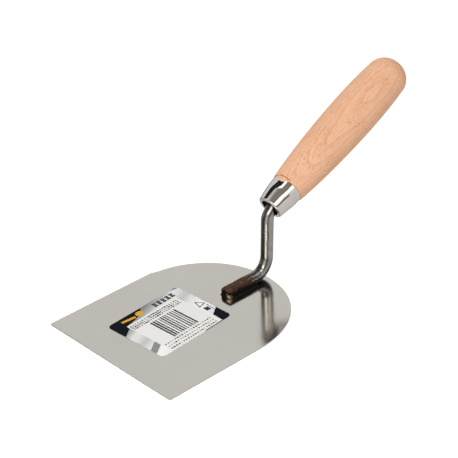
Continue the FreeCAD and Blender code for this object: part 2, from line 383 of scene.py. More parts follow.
def make_crank():
    rng = random.Random(7)
    marks = dents(rng, 34, foot_run + 4 * MM, 5 * MM)
    marks += dents(rng, 16, foot_run * 0.5, foot_run * 0.28)
    rings = []
    along = 0.0
    previous = crank[0][0]
    for centre, angle in crank:
        along += (centre - previous).length
        previous = centre
        swell = ease((along - foot_run + SWELL) / SWELL)
        nose = min(along / NOSE, 1.0)
        nose_size = NOSE_SHARE + (1 - NOSE_SHARE) * math.sqrt(1 - (1 - nose) ** 2)
        height = (FOOT_HEIGHT + FOOT_SPARE) * nose_size
        half_wide = FOOT_HALF_WIDTH * nose_size * (1 - swell) + ROD * swell
        half_high = height / 2 * (1 - swell) + ROD * swell
        foot_centre = deck + FOOT_HEIGHT * nose_size - height / 2
        middle = centre.copy()
        if along < foot_run:
            middle.z = foot_centre * (1 - swell) + centre.z * swell
        # the rod is drawn down where it enters the ferrule
        to_mouth = (centre - MOUTH).dot(AXIS)
        neck = ease(to_mouth / NECK_TAPER + 0.8) if centre.z > NECK_ABOVE else 0.0
        shrink = 1 - NECK_SHRINK * neck
        power = FOOT_POWER + (2 - FOOT_POWER) * swell
        up = heading(angle + math.pi / 2)
        ring = []
        for i in range(SECTION_SIDES):
            turn = 2 * math.pi * i / SECTION_SIDES
            inset = 0.0
            for mark_along, mark_turn, size, depth in marks:
                round_gap = math.remainder(turn - mark_turn, 2 * math.pi) * ROD
                reach = ((along - mark_along) ** 2 + round_gap ** 2) / (size * size)
                if reach < 1:
                    inset += depth * (1 - reach) ** 2
            across = (half_wide * shrink - inset) * signed_power(math.cos(turn), 2 / power)
            rise = (half_high * shrink - inset) * signed_power(math.sin(turn), 2 / power)
            point = middle + LEFT * across + up * rise
            if along < foot_run + LOWER_BEND and point.z < deck:
                point.z = deck
            ring.append(point)
        rings.append(ring)
    return skin(rings)


# %% [markdown]
# The rod is bright drawn steel that nobody polished. Drawing leaves fine lines along it and a
# patchy grey skin. On the real tool it also shows light and dark bands along its length, and most
# of each band is a reflection. A rod this thin squeezes the whole room into a few millimetres, so
# lights alone didn't give the bands: they are painted, as fixed stripes of lighter and darker
# steel. The price is that they stay where they are when the tool is looked at from elsewhere.

# %% Painted reflection bands along the rod
# painted reflections: places across the rod and the grey painted at each
REFLECTION_BANDS = ((0.0, 0.42), (0.15, 0.50), (0.30, 0.30), (0.44, 0.20), (0.53, 0.01), (0.63, 0.07),
           (0.70, 0.28), (0.76, 0.60), (0.80, 0.56), (0.845, 0.20), (0.885, 0.06), (0.93, 0.32),
           (0.965, 0.41), (0.99, 0.43), (1.0, 0.36))
SKIN_GREY = (0.25, 0.245, 0.24, 1)


def steel_with_painted_reflections(tree, where, patches):
    """Painted reflections as grey steel bands from one side of the rod to the other, each straying
    a little.
    """
    wander = remap(tree, patches, 0, 1, -0.02, 0.02)
    sideways = maths(tree, "ADD", remap(tree, where.outputs["X"], -ROD, ROD), wander)
    # the ramp paints the rod's reflections as light and dark bands
    ramp = add(tree, "ShaderNodeValToRGB", [("Fac", sideways)])
    set_stops(ramp, [(position, (grey, grey * 0.985, grey * 0.96)) for position, grey in REFLECTION_BANDS])
    return blend_colours(tree, maths(tree, "MULTIPLY", patches, 0.22), ramp.outputs[0], SKIN_GREY)


print("rod bands:", len(REFLECTION_BANDS))

# %% [markdown]
# Painted shade takes the steel nearly to black low on the foot's sides and under the bend,
# wherever the surface faces down. The torch's heat turns the foot brown: the colour is strongest
# on its top, ends in a ragged edge near the bend, and at the front end it leaves a straw-tinted
# spot, painted bright as a highlight.

# %% Painted shade, heat tint and a painted highlight
SHADE_BLACK = (0.012, 0.010, 0.009, 1)
HIGHLIGHT_SPOT = (2.7 * MM, foot_front + 0.2 * MM, deck + 1.3 * MM)


def with_painted_shade(tree, where, edge, steel):
    """Steel darkened with painted shade near the blade, and higher up where it faces down."""
    facing = add(tree, "ShaderNodeNewGeometry")
    slope = add(tree, "ShaderNodeSeparateXYZ", [("Vector", facing.outputs["Normal"])])
    # painted shade: where the surface faces down low on the crank, and in a band just above the
    # blade
    under = maths(tree, "MULTIPLY", remap(tree, slope.outputs["Z"], 0.30, -0.20),
                  remap(tree, where.outputs["Z"], deck + 15 * MM, deck + 8 * MM))
    painted_shade = maths(tree, "MAXIMUM", under, remap(tree, edge, deck + 6.4 * MM, deck + 3.6 * MM))
    return blend_colours(tree, painted_shade, steel, SHADE_BLACK)


def heat_mask(tree, where, grime):
    """One on the foot, fading to nothing up the bend."""
    ragged = maths(tree, "ADD", where.outputs["Y"], remap(tree, grime, 0, 1, -0.0026, 0.0026))
    heated = remap(tree, ragged, foot_front + foot_run * 1.05, foot_front + foot_run * 0.74)
    low = remap(tree, where.outputs["Z"], deck + 11 * MM, deck + 7 * MM)
    return maths(tree, "MULTIPLY", heated, low)


def heat_tint_and_painted_light(tree, plain, edge, grime, patches):
    """The heated foot's colour, with painted shade low down and a painted highlight spot at its
    front, and the spot's mask.
    """
    brown = blend_colours(tree, grime, (0.075, 0.030, 0.016, 1), (0.165, 0.078, 0.042, 1))
    brown = blend_colours(tree, patches, brown, (0.050, 0.027, 0.018, 1))
    # painted shade: the brown goes nearly black low down by the blade
    brown = blend_colours(tree, remap(tree, edge, deck + 5.6 * MM, deck + 4.6 * MM), brown,
                          (0.008, 0.006, 0.005, 1))
    # painted highlight: a bright spot at the foot's front corner, tinted like the real straw heat
    # tint
    from_spot = add(tree, "ShaderNodeVectorMath", [(0, plain), (1, HIGHLIGHT_SPOT)],
                    operation="DISTANCE")
    straw_highlight = remap(tree, maths(tree, "ADD", from_spot.outputs["Value"],
                              remap(tree, grime, 0, 1, 0, 0.0012)), 2.9 * MM, 1.1 * MM)
    return blend_colours(tree, straw_highlight, brown, (0.78, 0.60, 0.38, 1)), straw_highlight


# %% Rod finish
def rod_steel():
    material, tree, shader = new_material("forged_rod_steel")
    plain = place(tree)
    where = add(tree, "ShaderNodeSeparateXYZ", [("Vector", plain)])
    lines = use_group(tree, fine_lines, [("Vector", plain), ("Across", 2400.0), ("Along", 160.0)])
    patches = use_group(tree, cloudiness, [("Vector", plain), ("Size", 260.0),
                                           ("Low", 0.38), ("High", 0.68)])
    grime = use_group(tree, cloudiness, [("Vector", plain), ("Size", 900.0),
                                         ("Low", 0.40), ("High", 0.62)])
    edge = maths(tree, "ADD", where.outputs["Z"], remap(tree, grime, 0, 1, 0, 0.0012))
    # the painted reflection bands, darkened with painted shade
    steel = with_painted_shade(tree, where, edge, steel_with_painted_reflections(tree, where, patches))
    heated = heat_mask(tree, where, grime)
    heated_and_painted, straw_highlight = heat_tint_and_painted_light(tree, plain, edge, grime, patches)
    matt = maths(tree, "MULTIPLY", heated, maths(tree, "SUBTRACT", 1.0, straw_highlight))
    rough = maths(tree, "ADD", remap(tree, lines, 0.3, 0.7, 0.17, 0.25),
                  maths(tree, "MULTIPLY", matt, 0.26))
    worked = remap(tree, where.outputs["Z"], deck + 16 * MM, deck + 9 * MM, 0.10, 0.75)
    height = maths(tree, "ADD", maths(tree, "MULTIPLY", lines, 0.25),
                   maths(tree, "MULTIPLY", grime, maths(tree, "ADD", worked, heated)))
    metal = maths(tree, "SUBTRACT", 1.0, maths(tree, "MULTIPLY", matt, 0.55))
    set_inputs(shader, Base_Color=blend_colours(tree, heated, steel, heated_and_painted), Metallic=metal,
               Roughness=rough, Specular_IOR_Level=0.05,
               Normal=bump(tree, height, 0.35, 0.00015))
    return material


shank = make_object("crank_rod", make_crank(), rod_steel())
crease_by_angle(shank, 50)
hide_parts("shank")
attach(shank, "root")

# %% [markdown]
# The foot is brazed: brass filler is drawn into the gap and leaves a narrow fillet, painted nearly
# black as the shade in the joint under the foot, with bare brass at its front. It is a real bead
# with an uneven crest, so its CAD node keeps its shape and gets a dull, patchy metal.

# %% Filler finish
def braze_brass():
    material, tree, shader = new_material("braze_with_painted_shade")
    patchiness = use_group(tree, cloudiness, [("Vector", place(tree)), ("Size", 700.0),
                                        ("Low", 0.35), ("High", 0.60)])
    where = add(tree, "ShaderNodeSeparateXYZ", [("Vector", place(tree))])
    front = remap(tree, where.outputs["Y"], foot_front + 1.5 * MM, foot_front)
    bare = maths(tree, "MULTIPLY", front, maths(tree, "SUBTRACT", 1.0, patchiness))
    bare = maths(tree, "MULTIPLY", bare, remap(tree, where.outputs["X"], 0.8 * MM, 1.6 * MM))
    # painted shade: the fillet is nearly black, except bare brass at the front
    colour = blend_colours(tree, bare, (0.012, 0.009, 0.007, 1), (0.46, 0.30, 0.14, 1))
    set_inputs(shader, Base_Color=colour, Metallic=0.8,
               Roughness=remap(tree, patchiness, 0, 1, 0.30, 0.55), Normal=bump(tree, patchiness, 0.3, 0.0001))
    return material


frame["nodes"]["braze"].material_slots[0].material = braze_brass()

# %% [markdown]
# The ferrule is drawn from thin sheet, turned in at the mouth and chromed. Chrome has almost no
# colour of its own: it shows the room. What makes it read as chrome is its shape, so the lip, the
# slight dish behind it and the rolled rear edge are all real geometry. The half section is a
# closed list of (radius, distance) pairs built from arcs, swept once round the handle's axis.
# The brad that pins it to the wood is plated too, and duller.

# %% The ferrule
FERRULE = 17.6 * MM
WAIST = 10.5 * MM
MOUTH_RADIUS = 8.35 * MM
WAIST_RADIUS = 10.1 * MM
REAR_RADIUS = 10.42 * MM
WALL = 0.8 * MM
LIP = 1.25 * MM
HOLE = 6.0 * MM
TURN_SIDES = 160


def cone_radius(distance):
    """The drawing's outer radius: a cone up to the waist, then almost a cylinder."""
    if distance < WAIST:
        return MOUTH_RADIUS + (WAIST_RADIUS - MOUTH_RADIUS) * distance / WAIST
    return WAIST_RADIUS + (REAR_RADIUS - WAIST_RADIUS) * (distance - WAIST) / (FERRULE - WAIST)


def pressed_radius(distance):
    """The cone radius averaged over a few millimetres, as soft as pressed sheet is."""
    window = 2.2 * MM
    samples = [cone_radius(distance + window * (i / 4 - 1)) for i in range(9)]
    return sum(samples) / len(samples)


def arc(centre, radius, start, end, steps):
    """Points (radius, distance) of an arc; angles in degrees, 0 outwards and 90 to the rear."""
    points = []
    for i in range(steps + 1):
        angle = math.radians(start + (end - start) * i / steps)
        points.append((centre[0] + radius * math.cos(angle), centre[1] + radius * math.sin(angle)))
    return points


def ripple(turn, distance):
    """How far hand pressing has pushed the sheet out of true, fading out at both ends."""
    fade = ease(distance / (3 * MM)) * ease((FERRULE - distance) / (2 * MM))
    wave = (0.030 * math.sin(3 * turn + 1.1) + 0.010 * math.sin(7 * turn + 300 * distance)
            + 0.006 * math.sin(13 * turn - 500 * distance + 0.6))
    return wave * fade * MM


def turned(profile):
    """A closed shell round the handle's axis from (radius, distance) pairs, rippled by hand."""
    rings = []
    for radius, distance in profile:
        ring = []
        for i in range(TURN_SIDES):
            turn = 2 * math.pi * i / TURN_SIDES
            grown = radius + ripple(turn, distance)
            ring.append(MOUTH + AXIS * distance
                        + (LEFT * math.cos(turn) + TOP * math.sin(turn)) * grown)
        rings.append(ring)
    return skin(rings, closed_loop=True)


def ferrule_profile():
    rim = edge = 0.3 * MM
    outer = arc((cone_radius(LIP) - LIP, LIP), LIP, -90, -9, 12)
    steps = 36
    for i in range(1, steps):
        distance = LIP + (FERRULE - rim - LIP) * i / steps
        outer.append((pressed_radius(distance), distance))
    rear = arc((cone_radius(FERRULE) - rim, FERRULE - rim), rim, 0, 90, 6)
    inner = [(cone_radius(FERRULE) - WALL, FERRULE), (WAIST_RADIUS - WALL, WAIST),
             (cone_radius(LIP) - WALL, LIP * 1.1)]
    mouth = arc((HOLE + edge, WALL - edge), edge, 90, 270, 8)
    return outer + rear + inner + mouth


# %% Chrome finish
def chrome(name, tint, low, high):
    material, tree, shader = new_material(name)
    local = along_handle(tree)
    lines = use_group(tree, fine_lines, [("Vector", local), ("Across", 900.0), ("Along", 2500.0)])
    touch = use_group(tree, cloudiness, [("Vector", local), ("Size", 160.0),
                                         ("Low", 0.45), ("High", 0.70)])
    rough = maths(tree, "ADD", remap(tree, touch, 0, 1, low, high),
                  remap(tree, lines, 0.35, 0.65, 0.0, 0.02))
    colour = blend_colours(tree, touch, tint, [0.97 * value for value in tint[:3]] + [1])
    set_inputs(shader, Base_Color=colour, Metallic=1.0, Roughness=rough,
               Normal=bump(tree, touch, 0.06, 0.0002))
    return material


ferrule_chrome = chrome("ferrule_chrome_plate", (0.73, 0.705, 0.685, 1), 0.045, 0.10)
ferrule = make_object("ferrule_shell", turned(ferrule_profile()), ferrule_chrome)
crease_by_angle(ferrule, 40)
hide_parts("ferrule")
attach(ferrule, "root")
frame["nodes"]["ferrule_brad"].material_slots[0].material = chrome(
    "brad_plate", (0.74, 0.72, 0.66, 1), 0.12, 0.2)

# %% [markdown]
# A handle like this comes off a copying lathe: its radius is a smooth rule of the distance along
# the axis. That suits Geometry Nodes. The base mesh is just the axis, a chain of points that each
# carry the turned radius as an attribute. The tree makes the chain a curve, sets the curve's
# radius from the attribute, sweeps a circle along it and closes the ends, so changing the rule or
# the number of sides needs no new modelling.

# %% The turning rule
SPIGOT_FRONT = 2.2 * MM
STATIONS = ((17.6, 10.95), (43.5, 13.4), (62.0, 14.35), (88.0, 14.75), (115.3, 13.45))
DOME = 12.4 * MM
GRIP_STEPS, DOME_STEPS = 110, 33
SHOULDER_ROUNDING = 0.25 * MM


def grip_radius(distance):
    """Smooth curve through the stations (Lagrange's formula), in metres."""
    at = distance / MM
    total = 0.0
    for i, (xi, radius) in enumerate(STATIONS):
        weight = radius
        for j, (xj, _) in enumerate(STATIONS):
            if i != j:
                weight *= (at - xj) / (xi - xj)
        total += weight
    return total * MM


def turning_rule():
    """Pairs (distance, radius) from the spigot's front end to the middle of the butt."""
    front = cone_radius(SPIGOT_FRONT) - WALL
    rule = [(SPIGOT_FRONT, front - 0.3 * MM), (SPIGOT_FRONT + 0.2 * MM, front)]
    shoulder = STATIONS[0][0] * MM
    rule += [(WAIST, WAIST_RADIUS - WALL), (shoulder, REAR_RADIUS - WALL)]
    for i in range(5):
        angle = math.pi / 2 * i / 4
        rule.append((shoulder + SHOULDER_ROUNDING * (1 - math.cos(angle)) + 0.01 * MM,
                     STATIONS[0][1] * MM - SHOULDER_ROUNDING * (1 - math.sin(angle))))
    grip_end = STATIONS[-1][0] * MM
    start = shoulder + SHOULDER_ROUNDING
    for i in range(1, GRIP_STEPS + 1):
        distance = start + (grip_end - start) * i / GRIP_STEPS
        rule.append((distance, grip_radius(distance)))
    for i in range(1, DOME_STEPS):
        angle = math.pi / 2 * i / DOME_STEPS
        rule.append((grip_end + DOME * math.sin(angle), STATIONS[-1][1] * MM * math.cos(angle)))
    return rule


rule = turning_rule()
print("turning rule:", len(rule), "points, thickest radius, mm:",
      round(max(radius for _, radius in rule) / MM, 2))


# %% The lathe tree
def lathe_tree():
    tree = bpy.data.node_groups.new("lathe", "GeometryNodeTree")
    tree.interface.new_socket("Geometry", in_out="INPUT", socket_type="NodeSocketGeometry")
    sides = tree.interface.new_socket("Sides", in_out="INPUT", socket_type="NodeSocketInt")
    finish = tree.interface.new_socket("Finish", in_out="INPUT", socket_type="NodeSocketMaterial")
    tree.interface.new_socket("Geometry", in_out="OUTPUT", socket_type="NodeSocketGeometry")
    sides.default_value = 32
    into = tree.nodes.new("NodeGroupInput")
    out = tree.nodes.new("NodeGroupOutput")
    curve = add(tree, "GeometryNodeMeshToCurve", [("Mesh", into.outputs["Geometry"])])
    radius = add(tree, "GeometryNodeInputNamedAttribute", data_type="FLOAT")
    radius.inputs["Name"].default_value = "turned_radius"
    sized = add(tree, "GeometryNodeSetCurveRadius", [("Curve", curve.outputs[0]),
                                                     ("Radius", radius.outputs[0])])
    circle = add(tree, "GeometryNodeCurvePrimitiveCircle",
                 [("Resolution", into.outputs["Sides"]), ("Radius", 1.0)])
    sweep = add(tree, "GeometryNodeCurveToMesh", [("Curve", sized.outputs[0]),
                                                  ("Profile Curve", circle.outputs[0]),
                                                  ("Fill Caps", True)])
    if "Scale" in sweep.inputs:
        tree.links.new(radius.outputs[0], sweep.inputs["Scale"])
    solid = add(tree, "GeometryNodeRealizeInstances", [("Geometry", sweep.outputs[0])])
    painted = add(tree, "GeometryNodeSetMaterial", [("Geometry", solid.outputs[0]),
                                                    ("Material", into.outputs["Finish"])])
    tree.links.new(painted.outputs[0], out.inputs[0])
    return tree, sides.identifier, finish.identifier


def bake(piece, tree, values):
    """Run a Geometry Nodes tree on a piece and keep the result as its plain mesh."""
    modifier = piece.modifiers.new(tree.name, "NODES")
    modifier.node_group = tree
    for identifier, value in values.items():
        modifier[identifier] = value
    graph = bpy.context.evaluated_depsgraph_get()
    made = bpy.data.meshes.new_from_object(piece.evaluated_get(graph), depsgraph=graph)
    piece.modifiers.remove(modifier)
    finish = next(value for value in values.values() if isinstance(value, bpy.types.Material))
    made.materials.clear()
    made.materials.append(finish)
    made.polygons.foreach_set("material_index", [0] * len(made.polygons))
    piece.data = made
    return piece


def turn_handle(material):
    chain = bpy.data.meshes.new("handle_axis")
    chain.from_pydata([MOUTH + AXIS * distance for distance, _ in rule],
                      [(i, i + 1) for i in range(len(rule) - 1)], [])
    radii = chain.attributes.new("turned_radius", "FLOAT", "POINT")
    for i, (_, radius) in enumerate(rule):
        radii.data[i].value = radius
    piece = bpy.data.objects.new("handle_axis", chain)
    bpy.context.scene.collection.objects.link(piece)
    tree, sides, finish = lathe_tree()
    bake(piece, tree, {sides: TURN_SIDES, finish: material})
    mesh = bmesh.new()
    mesh.from_mesh(piece.data)
    bpy.data.objects.remove(piece)
    return make_object("turned_handle", mesh, material)


# %% [markdown]
# The wood is steamed beech. Its year rings are nearly flat layers because the blank was cut far
# from the tree's middle, so a wave pattern is measured from a line well outside the handle: the
# layers show as straight stripes along one side and as nested arcs where they run out at the butt.
# Beech is known by its rays, short darker dashes along the grain. They are stretched cells, kept
# only where a second, coarser pattern allows, so they come in drifts.

# %% Layers and rays
PITH_X, PITH_Y = 45.4 * MM, -53.3 * MM
LAYER_PITCH = 1.35 * MM
GRAIN_SLANT = 0.02
LAYER_SWAY = 0.0030


def year_layers(tree, local, apart):
    """Share of the way through each year's layer, from 0 in spring to 1 in autumn."""
    sway = add(tree, "ShaderNodeTexNoise", [("Vector", local), ("Scale", 22.0), ("Detail", 2.0)])
    pith = add(tree, "ShaderNodeCombineXYZ", [
        ("X", maths(tree, "SUBTRACT", apart.outputs["X"], PITH_X)),
        ("Y", maths(tree, "SUBTRACT", apart.outputs["Y"], PITH_Y))])
    far = add(tree, "ShaderNodeVectorMath", [(0, pith.outputs[0])], operation="LENGTH")
    slant = maths(tree, "MULTIPLY", apart.outputs["Z"], GRAIN_SLANT)
    layers = maths(tree, "ADD", far.outputs["Value"], slant)
    layers = maths(tree, "ADD", layers, maths(tree, "MULTIPLY", sway.outputs[0], LAYER_SWAY))
    return maths(tree, "FRACT", maths(tree, "MULTIPLY", layers, 1 / LAYER_PITCH))


def ray_flecks(tree, local, apart, phase):
    """Cells stretched along the grain, kept in drifts and away from the spring wood."""
    stretched = add(tree, "ShaderNodeCombineXYZ", [
        (axis, maths(tree, "MULTIPLY", apart.outputs[axis], scale))
        for axis, scale in (("X", 1250.0), ("Y", 1250.0), ("Z", 430.0))])
    cells = add(tree, "ShaderNodeTexVoronoi", [("Vector", stretched.outputs[0]), ("Scale", 1.0),
                                               ("Randomness", 1.0)])
    drift = use_group(tree, cloudiness, [("Vector", local), ("Size", 95.0),
                                         ("Low", 0.46), ("High", 0.56)])
    ray = maths(tree, "MULTIPLY", remap(tree, cells.outputs["Distance"], 0.44, 0.28), drift)
    return maths(tree, "MULTIPLY", ray, remap(tree, phase, 0.15, 0.45))


# %% [markdown]
# Over the top of the ferrule's rear edge, where the wood meets the sliver that it pushed up, a
# short, hair-wide line of painted shade is drawn in the finish.
# The front end of the spigot, deep inside the ferrule, is painted dark.

# %% Beech finish
SHADE_LINE_AT, SHADE_LINE_HALF_WIDTH = 18.35 * MM, 0.20 * MM


def shade_line_mask(tree, apart):
    """A line of painted shade round part of the handle, fading out at both of its ends."""
    turn = maths(tree, "ARCTAN2", maths(tree, "MULTIPLY", apart.outputs["X"], -1.0),
                 apart.outputs["Y"])
    shade_line = add(tree, "ShaderNodeMath", [(0, apart.outputs["Z"]), (1, SHADE_LINE_AT),
                                         (2, SHADE_LINE_HALF_WIDTH)], operation="COMPARE").outputs[0]
    shade_line = maths(tree, "MULTIPLY", shade_line, remap(tree, turn, -0.30, -0.22))
    return maths(tree, "MULTIPLY", shade_line, remap(tree, turn, 0.62, 0.52))


def beech():
    material, tree, shader = new_material("steamed_beech")
    local = along_handle(tree)
    apart = add(tree, "ShaderNodeSeparateXYZ", [("Vector", local)])
    phase = year_layers(tree, local, apart)
    ray = ray_flecks(tree, local, apart, phase)
    fibres = use_group(tree, fine_lines, [("Vector", local), ("Across", 2300.0), ("Along", 150.0)])
    pores = use_group(tree, fine_lines, [("Vector", local), ("Across", 4200.0), ("Along", 520.0)])
    broad = use_group(tree, cloudiness, [("Vector", local), ("Size", 26.0),
                                         ("Low", 0.35), ("High", 0.70)])
    late = maths(tree, "MULTIPLY", maths(tree, "POWER", phase, 2.5),
                 remap(tree, fibres, 0.30, 0.62, 0.15, 0.55))
    colour = blend_colours(tree, broad, (0.890, 0.525, 0.340, 1), (0.930, 0.575, 0.380, 1))
    for mask, tone in (
            (late, (0.700, 0.315, 0.160, 1)),
            (remap(tree, fibres, 0.44, 0.68, 0.0, 0.50), (0.740, 0.370, 0.200, 1)),
            (remap(tree, pores, 0.52, 0.70, 0.0, 0.50), (0.620, 0.270, 0.135, 1)),
            (maths(tree, "MULTIPLY", ray, 0.62), (0.650, 0.225, 0.090, 1)),
            # painted shade along the step behind the ferrule's rear edge
            (maths(tree, "MULTIPLY", shade_line_mask(tree, apart), 0.95), (0.09, 0.035, 0.02, 1)),
            # the spigot's front end, deep in the ferrule's mouth, painted dark
            (remap(tree, apart.outputs["Z"], 3.0 * MM, 2.2 * MM), (0.075, 0.032, 0.018, 1))):
        colour = blend_colours(tree, mask, colour, tone)
    height = maths(tree, "SUBTRACT", fibres, maths(tree, "MULTIPLY", ray, 0.8))
    set_inputs(shader, Base_Color=colour, Roughness=remap(tree, fibres, 0.3, 0.7, 0.50, 0.62),
               Specular_IOR_Level=0.35, Normal=bump(tree, height, 0.2, 0.00012))
    return material


handle = turn_handle(beech())
crease_by_angle(handle, 40)
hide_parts("handle")
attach(handle, "root")

# %% [markdown]
# When the ferrule was pressed on, its rear edge pushed up a sliver of wood that now lies over the
# chrome, torn along its front. It is a thin closed shell bent round the ferrule: a grid of points
# in turn and distance, with a ragged front edge from a fixed seed, and thinner towards that edge.

# %% The pushed-up sliver
SLIVER_FROM, SLIVER_TO = math.radians(-15), math.radians(33)
SLIVER_STEPS = 40
SLIVER_ROWS = 6


def sliver_point(turn, distance, lift):
    """A point over the ferrule; turn is counted from the top towards the right."""
    radius = pressed_radius(min(distance, FERRULE)) + ripple(math.pi / 2 + turn, distance) + lift
    return MOUTH + AXIS * distance + (TOP * math.cos(turn) - LEFT * math.sin(turn)) * radius


def make_sliver():
    rng = random.Random(19)
    jag = [rng.uniform(-0.35, 0.35) * MM for _ in range(SLIVER_STEPS + 1)]
    rear = FERRULE + 0.12 * MM
    upper, lower = [], []
    for row in range(SLIVER_ROWS + 1):
        share = row / SLIVER_ROWS
        upper.append([])
        lower.append([])
        for step in range(SLIVER_STEPS + 1):
            side = step / SLIVER_STEPS
            turn = SLIVER_FROM + (SLIVER_TO - SLIVER_FROM) * side
            reach = 2.5 * MM * math.sin(math.pi * min(side * 1.25 + 0.06, 1.0)) ** 0.5
            distance = rear - (reach + jag[step] + 0.45 * MM) * share
            ends = math.sin(math.pi * (side * 0.96 + 0.02)) ** 0.4
            thick = (0.44 - 0.30 * share ** 2) * MM * ends
            upper[-1].append(sliver_point(turn, distance, thick))
            lower[-1].append(sliver_point(turn, distance, 0.01 * MM))
    rings = []
    for top_row, bottom_row in zip(zip(*upper), zip(*lower)):
        rings.append(list(top_row) + list(reversed(bottom_row)))
    return skin(rings)


sliver = make_object("pushed_up_sliver", make_sliver(), handle.material_slots[0].material)
crease_by_angle(sliver, 60)
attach(sliver, "root")

# %% [markdown]
# The label is a silver sticker with printing on it. The paper is the CAD node. The printing is
# modelled as ink: thin closed plates a few hundredths of a millimetre thick, laid out in the
# label's own frame, u across and v towards the handle, in millimetres from its centre. There are
# no letters or numbers. Rows of small blocks stand for text and plain bars stand for a code.

# %% The label's frame
LABEL_CENTRE = Vector((-4.85 * MM, -11.7 * MM, 0))
LABEL_TURN = math.radians(3.6)
LABEL_HALF = (23.4, 29.35)
LABEL_CORNER = 3.2
PRINT_MARGIN = 0.05
INK = 0.02
INK_CLEARANCE = 0.002
paper_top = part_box("label")[1].z


def on_label(u, v, height=0.0):
    """A point of the label, from millimetres in its own frame to metres in the row's."""
    u, v = u * MM, v * MM
    return Vector((LABEL_CENTRE.x + u * math.cos(LABEL_TURN) - v * math.sin(LABEL_TURN),
                   LABEL_CENTRE.y + u * math.sin(LABEL_TURN) + v * math.cos(LABEL_TURN),
                   paper_top + height * MM))


def label_corner(sign_u, sign_v):
    """Points round one corner of the label, anticlockwise as seen from above."""
    start = {(1, 1): 0, (-1, 1): 90, (-1, -1): 180, (1, -1): 270}[(sign_u, sign_v)]
    middle = (sign_u * (LABEL_HALF[0] - LABEL_CORNER), sign_v * (LABEL_HALF[1] - LABEL_CORNER))
    reach = LABEL_CORNER - PRINT_MARGIN
    return [(middle[0] + reach * math.cos(math.radians(start + a)),
             middle[1] + reach * math.sin(math.radians(start + a))) for a in range(0, 91, 15)]


def print_on_label(name, mesh, material):
    """A printed piece that rides with the tool."""
    piece = make_object(name, mesh, material, smooth=False)
    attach(piece, "root")


def ink_plate(outlines, layer, name, material):
    """Closed thin plates, one for each outline of (u, v) points, all in one piece."""
    mesh = bmesh.new()
    low, high = layer * INK, (layer + 1) * INK
    for outline in outlines:
        bottom = [mesh.verts.new(on_label(u, v, low + INK_CLEARANCE)) for u, v in outline]
        top = [mesh.verts.new(on_label(u, v, high)) for u, v in outline]
        mesh.faces.new(top)
        mesh.faces.new(list(reversed(bottom)))
        for i in range(len(outline)):
            j = (i + 1) % len(outline)
            mesh.faces.new((bottom[i], bottom[j], top[j], top[i]))
    print_on_label(name, mesh, material)


# %% Label finishes
def printed(name, colour, spread, gloss):
    """Ink or paper with slight mottling, so that it isn't one flat colour."""
    material, tree, shader = new_material(name)
    mottle = use_group(tree, cloudiness, [("Vector", place(tree)), ("Size", 420.0),
                                          ("Low", 0.3), ("High", 0.7)])
    darker = [value * (1 - spread) for value in colour[:3]] + [1]
    set_inputs(shader, Base_Color=blend_colours(tree, mottle, colour, darker),
               Roughness=remap(tree, mottle, 0, 1, gloss, gloss + 0.08), Specular_IOR_Level=0.04)
    return material


def silver_paper():
    """Metallic grey printing that brightens and darkens in broad slanting bands."""
    material, tree, shader = new_material("silver_label_paper")
    local = place(tree, (LABEL_CENTRE.x, LABEL_CENTRE.y, 0), (0, 0, LABEL_TURN))
    apart = add(tree, "ShaderNodeSeparateXYZ", [("Vector", local)])
    along = remap(tree, apart.outputs["Y"], -30 * MM, 30 * MM)
    across = remap(tree, apart.outputs["X"], -24 * MM, 24 * MM)
    ramp = add(tree, "ShaderNodeValToRGB",
               [("Fac", maths(tree, "ADD", maths(tree, "MULTIPLY", along, 0.3),
                              maths(tree, "MULTIPLY", across, 0.7)))])
    stops = ((0.0, 0.10), (0.17, 0.20), (0.25, 0.46), (0.31, 0.80), (0.37, 0.74), (0.44, 0.56),
             (0.52, 0.80), (0.64, 0.95), (0.80, 0.80), (1.0, 0.95))
    set_stops(ramp, [(position, (grey, grey * 1.01, grey * 1.02)) for position, grey in stops])
    grain = use_group(tree, cloudiness, [("Vector", local), ("Size", 900.0),
                                         ("Low", 0.3), ("High", 0.7)])
    colour = blend_colours(tree, maths(tree, "MULTIPLY", grain, 0.05), ramp.outputs[0],
                           (0.3, 0.3, 0.3, 1))
    set_inputs(shader, Base_Color=colour, Roughness=0.38, Specular_IOR_Level=0.3)
    return material


frame["nodes"]["label"].material_slots[0].material = silver_paper()
navy = printed("navy_ink", (0.0012, 0.0032, 0.0085, 1), 0.35, 0.12)
white = printed("white_panel", (0.86, 0.855, 0.835, 1), 0.03, 0.42)
black = printed("bar_ink", (0.035, 0.05, 0.055, 1), 0.3, 0.4)
grey = printed("grey_ink", (0.30, 0.30, 0.32, 1), 0.12, 0.4)
amber = printed("amber_ink", (0.80, 0.42, 0.035, 1), 0.15, 0.35)


# %% Blocks of colour on the label
def printed_blocks():
    front_left = label_corner(-1, -1)
    back_right = label_corner(1, 1)
    edge_u, edge_v = LABEL_HALF[0] - PRINT_MARGIN, LABEL_HALF[1] - PRINT_MARGIN
    navy_front = front_left + [(-7.4, -edge_v), (-12.3, -21.5), (-14.8, -21.3), (-16.6, -12.0),
                               (-19.2, -5.5), (-edge_u, -1.8)]
    navy_back = [(10.2, edge_v), (14.6, 22.1), (22.3, 21.7), (22.6, 7.0), (edge_u, 6.5)]
    navy_back += back_right
    corner = label_corner(-1, 1)[::-1][:5]
    top_fleck = [(-edge_u, 23.6), (-edge_u, 26.0)] + corner + [(-22.2, 27.2)]
    ink_plate([navy_front, navy_back, top_fleck], 0, "label_navy_blocks", navy)
    ink_plate([[(8.2, -21.2), (13.2, -edge_v), (18.2, -edge_v), (13.4, -21.2)]], 0,
              "label_grey_band", grey)
    ink_plate([[(-14.9, -21.4), (23.1, -20.9), (22.6, 21.7), (-15.6, 20.6)]], 1,
              "label_white_panel", white)


printed_blocks()


# %% [markdown]
# Rows of small blocks are the same thing many times with small changes, so one Geometry Nodes tree
# makes them all: points on a line, a box on each point, and a random length for each box from a
# fixed seed. A row of long narrow boxes is a bar code's rhythm, and a row of short ones is a line
# of text seen from too far away to read.

